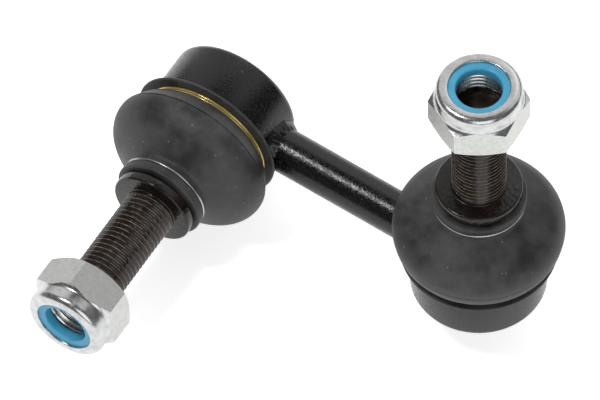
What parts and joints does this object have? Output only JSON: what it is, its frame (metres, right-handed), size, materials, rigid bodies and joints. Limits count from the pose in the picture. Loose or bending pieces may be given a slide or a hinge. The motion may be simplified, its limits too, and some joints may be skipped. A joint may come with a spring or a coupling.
{
  "type": "stabilizer link",
  "caption": "Short stabilizer link: a welded rod with a sealed, swivelling ball joint at each end, their threaded studs at right angles, with flange seats and nylon lock nuts",
  "frame": {"origin": "the point where the axis of stud B meets its flange seat", "axes": "+Z runs out along stud B, +X runs from the ball of joint A to the ball of joint B, so stud A points along -Y"},
  "size_m": [0.1051, 0.0814, 0.0814],
  "materials": {
    "black_paint": "semi-gloss black paint over steel",
    "boot_rubber": "matte charcoal rubber",
    "seat_plastic": "natural acetal",
    "gold_wire": "yellow-passivated spring wire",
    "steel_wire": "bright spring wire",
    "phosphated_steel": "oiled dark phosphate",
    "zinc_steel": "bright zinc plate",
    "blue_nylon": "light blue nylon"
  },
  "bodies": {
    "link": {"connecting_rod": "black_paint", "weld_bead_a": "black_paint", "housing_a": "black_paint", "cover_plate_a": "black_paint", "ball_seat_a": "seat_plastic", "clamp_ring_a": "gold_wire", "weld_bead_b": "black_paint", "housing_b": "black_paint", "cover_plate_b": "black_paint", "ball_seat_b": "seat_plastic", "clamp_ring_b": "gold_wire"},
    "boot_body_a": {"boot_a": "boot_rubber"},
    "neck_body_a": {"neck_ring_a": "steel_wire"},
    "stud_body_a": {"ball_stud_a": "phosphated_steel"},
    "insert_body_a": {"nylon_ring_a": "blue_nylon"},
    "nut_body_a": {"lock_nut_a": "zinc_steel"},
    "boot_body_b": {"boot_b": "boot_rubber"},
    "neck_body_b": {"neck_ring_b": "steel_wire"},
    "stud_body_b": {"ball_stud_b": "phosphated_steel"},
    "insert_body_b": {"nylon_ring_b": "blue_nylon"},
    "nut_body_b": {"lock_nut_b": "zinc_steel"}
  },
  "joints": [
    {"name": "tilt_about_rod_a", "type": "hinge", "parent": "link", "child": "boot_body_a", "pos_m": [-0.0675, 0, -0.0266], "axis": [1, 0, 0], "range_deg": [-16, 16], "deforming": ["boot_a"]},
    {"name": "tilt_across_rod_a", "type": "hinge", "parent": "boot_body_a", "child": "neck_body_a", "pos_m": [-0.0675, 0, -0.0266], "axis": [0, 0, 1], "range_deg": [-16, 16], "deforming": ["boot_a"]},
    {"name": "stud_spin_a", "type": "hinge", "parent": "neck_body_a", "child": "stud_body_a", "pos_m": [-0.0675, 0, -0.0266], "axis": [0, -1, 0], "continuous": true},
    {"name": "nut_slide_a", "type": "slide", "parent": "stud_body_a", "child": "insert_body_a", "axis": [0, -1, 0], "range_m": [-0.02345, 0.00845], "deforming": ["nylon_ring_a"]},
    {"name": "nut_turn_a", "type": "hinge", "parent": "insert_body_a", "child": "nut_body_a", "pos_m": [-0.0675, -0.0266, -0.0266], "axis": [0, -1, 0], "range_deg": [-6750, 2430]},
    {"name": "tilt_about_rod_b", "type": "hinge", "parent": "link", "child": "boot_body_b", "pos_m": [0, 0, -0.0266], "axis": [1, 0, 0], "range_deg": [-16, 16], "deforming": ["boot_b"]},
    {"name": "tilt_across_rod_b", "type": "hinge", "parent": "boot_body_b", "child": "neck_body_b", "pos_m": [0, 0, -0.0266], "axis": [0, 1, 0], "range_deg": [-16, 16], "deforming": ["boot_b"]},
    {"name": "stud_spin_b", "type": "hinge", "parent": "neck_body_b", "child": "stud_body_b", "pos_m": [0, 0, -0.0266], "axis": [0, 0, 1], "continuous": true},
    {"name": "nut_slide_b", "type": "slide", "parent": "stud_body_b", "child": "insert_body_b", "axis": [0, 0, 1], "range_m": [-0.02345, 0.00845], "deforming": ["nylon_ring_b"]},
    {"name": "nut_turn_b", "type": "hinge", "parent": "insert_body_b", "child": "nut_body_b", "pos_m": [0, 0, 0], "axis": [0, 0, 1], "range_deg": [-6750, 2430]}
  ],
  "couplings": [
    {"joint": "nut_slide_a", "follows": "nut_turn_a", "m_per_rad": 0.00019894},
    {"joint": "nut_slide_b", "follows": "nut_turn_b", "m_per_rad": 0.00019894}
  ]
}
